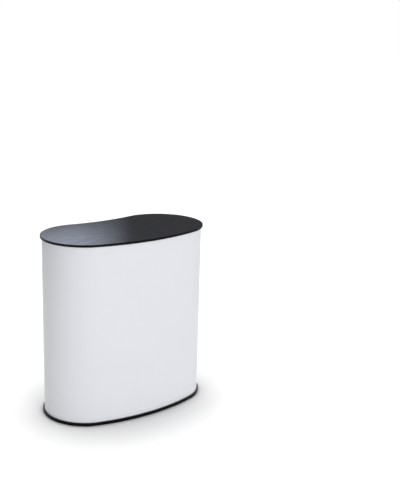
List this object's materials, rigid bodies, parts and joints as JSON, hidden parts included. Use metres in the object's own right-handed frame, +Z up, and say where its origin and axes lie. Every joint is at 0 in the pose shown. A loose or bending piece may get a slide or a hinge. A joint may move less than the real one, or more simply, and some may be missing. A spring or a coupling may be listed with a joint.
{
  "type": "exhibition counter",
  "caption": "Portable exhibition counter of kidney plan: black top and base boards, a white curved wrap, push-fit posts with a shelf, and a curved lockable door at the back.",
  "frame": {"origin": "on the floor, in the middle of the counter's bounding box", "axes": "+X along the counter's width, to the right as the customer sees it; +Y from the customer's side to the door at the back; +Z up"},
  "size_m": [0.92, 0.4896, 0.95],
  "materials": {
    "black_laminate": "satin black laminate on MDF",
    "black_edge_trim": "smooth black PVC edging",
    "black_board": "matt black melamine on MDF",
    "magnet_strip": "matt flexible magnet",
    "steel_strip": "galvanised",
    "white_wrap": "satin white PVC sheet",
    "white_door": "satin white laminate on bent ply",
    "satin_aluminium": "satin anodised",
    "turned_steel": "turned, zinc plated",
    "nickel_plate": "nickel plated",
    "natural_nylon": "moulded",
    "black_nylon": "moulded",
    "black_rubber": "matt"
  },
  "bodies": {
    "carcass": {"top_board": "black_laminate", "top_edge_trim": "black_edge_trim", "top_rim_plate": "black_board", "base_board": "black_laminate", "base_edge_trim": "black_edge_trim", "base_rim_plate": "black_board", "top_magnet_strip": "magnet_strip", "wrap_top_steel_strip": "steel_strip", "base_magnet_strip": "magnet_strip", "wrap_base_steel_strip": "steel_strip", "wrap_panel": "white_wrap", "base_spigot_front_left": "turned_steel", "lower_post_front_left": "satin_aluminium", "shelf_joiner_front_left": "turned_steel", "upper_post_front_left": "satin_aluminium", "top_spigot_front_left": "turned_steel", "base_spigot_front_right": "turned_steel", "lower_post_front_right": "satin_aluminium", "shelf_joiner_front_right": "turned_steel", "upper_post_front_right": "satin_aluminium", "top_spigot_front_right": "turned_steel", "base_spigot_back_left": "turned_steel", "lower_post_back_left": "satin_aluminium", "shelf_joiner_back_left": "turned_steel", "upper_post_back_left": "satin_aluminium", "top_spigot_back_left": "turned_steel", "base_spigot_back_right": "turned_steel", "lower_post_back_right": "satin_aluminium", "shelf_joiner_back_right": "turned_steel", "upper_post_back_right": "satin_aluminium", "top_spigot_back_right": "turned_steel", "shelf_board": "black_board", "glide_front_left": "black_nylon", "glide_front_right": "black_nylon", "glide_back_left": "black_nylon", "glide_back_right": "black_nylon", "glide_front_middle": "black_nylon", "glide_back_middle": "black_nylon", "hinge_jamb": "satin_aluminium", "lock_jamb": "satin_aluminium", "door_buffer_base": "black_rubber", "door_buffer_top": "black_rubber", "base_pivot_bush": "natural_nylon", "top_pivot_bush": "natural_nylon"},
    "door": {"door_panel": "white_door", "door_base_pivot_pin": "turned_steel", "door_top_pivot_pin": "turned_steel", "lock_housing": "nickel_plate", "lock_nut": "nickel_plate", "door_knob": "nickel_plate", "knob_screw": "turned_steel"},
    "lock": {"lock_plug": "nickel_plate", "lock_cam": "steel_strip", "cam_screw": "turned_steel"}
  },
  "joints": [
    {"name": "door_swing", "type": "hinge", "parent": "carcass", "child": "door", "pos_m": [0.17381, 0.22223, 0.0195], "axis": [0, 0, -1], "range_deg": [0, 110]},
    {"name": "lock_turn", "type": "hinge", "parent": "door", "child": "lock", "pos_m": [-0.15505, 0.22497, 0.7], "axis": [0.1725, 0.985, 0], "range_deg": [0, 90]}
  ]
}
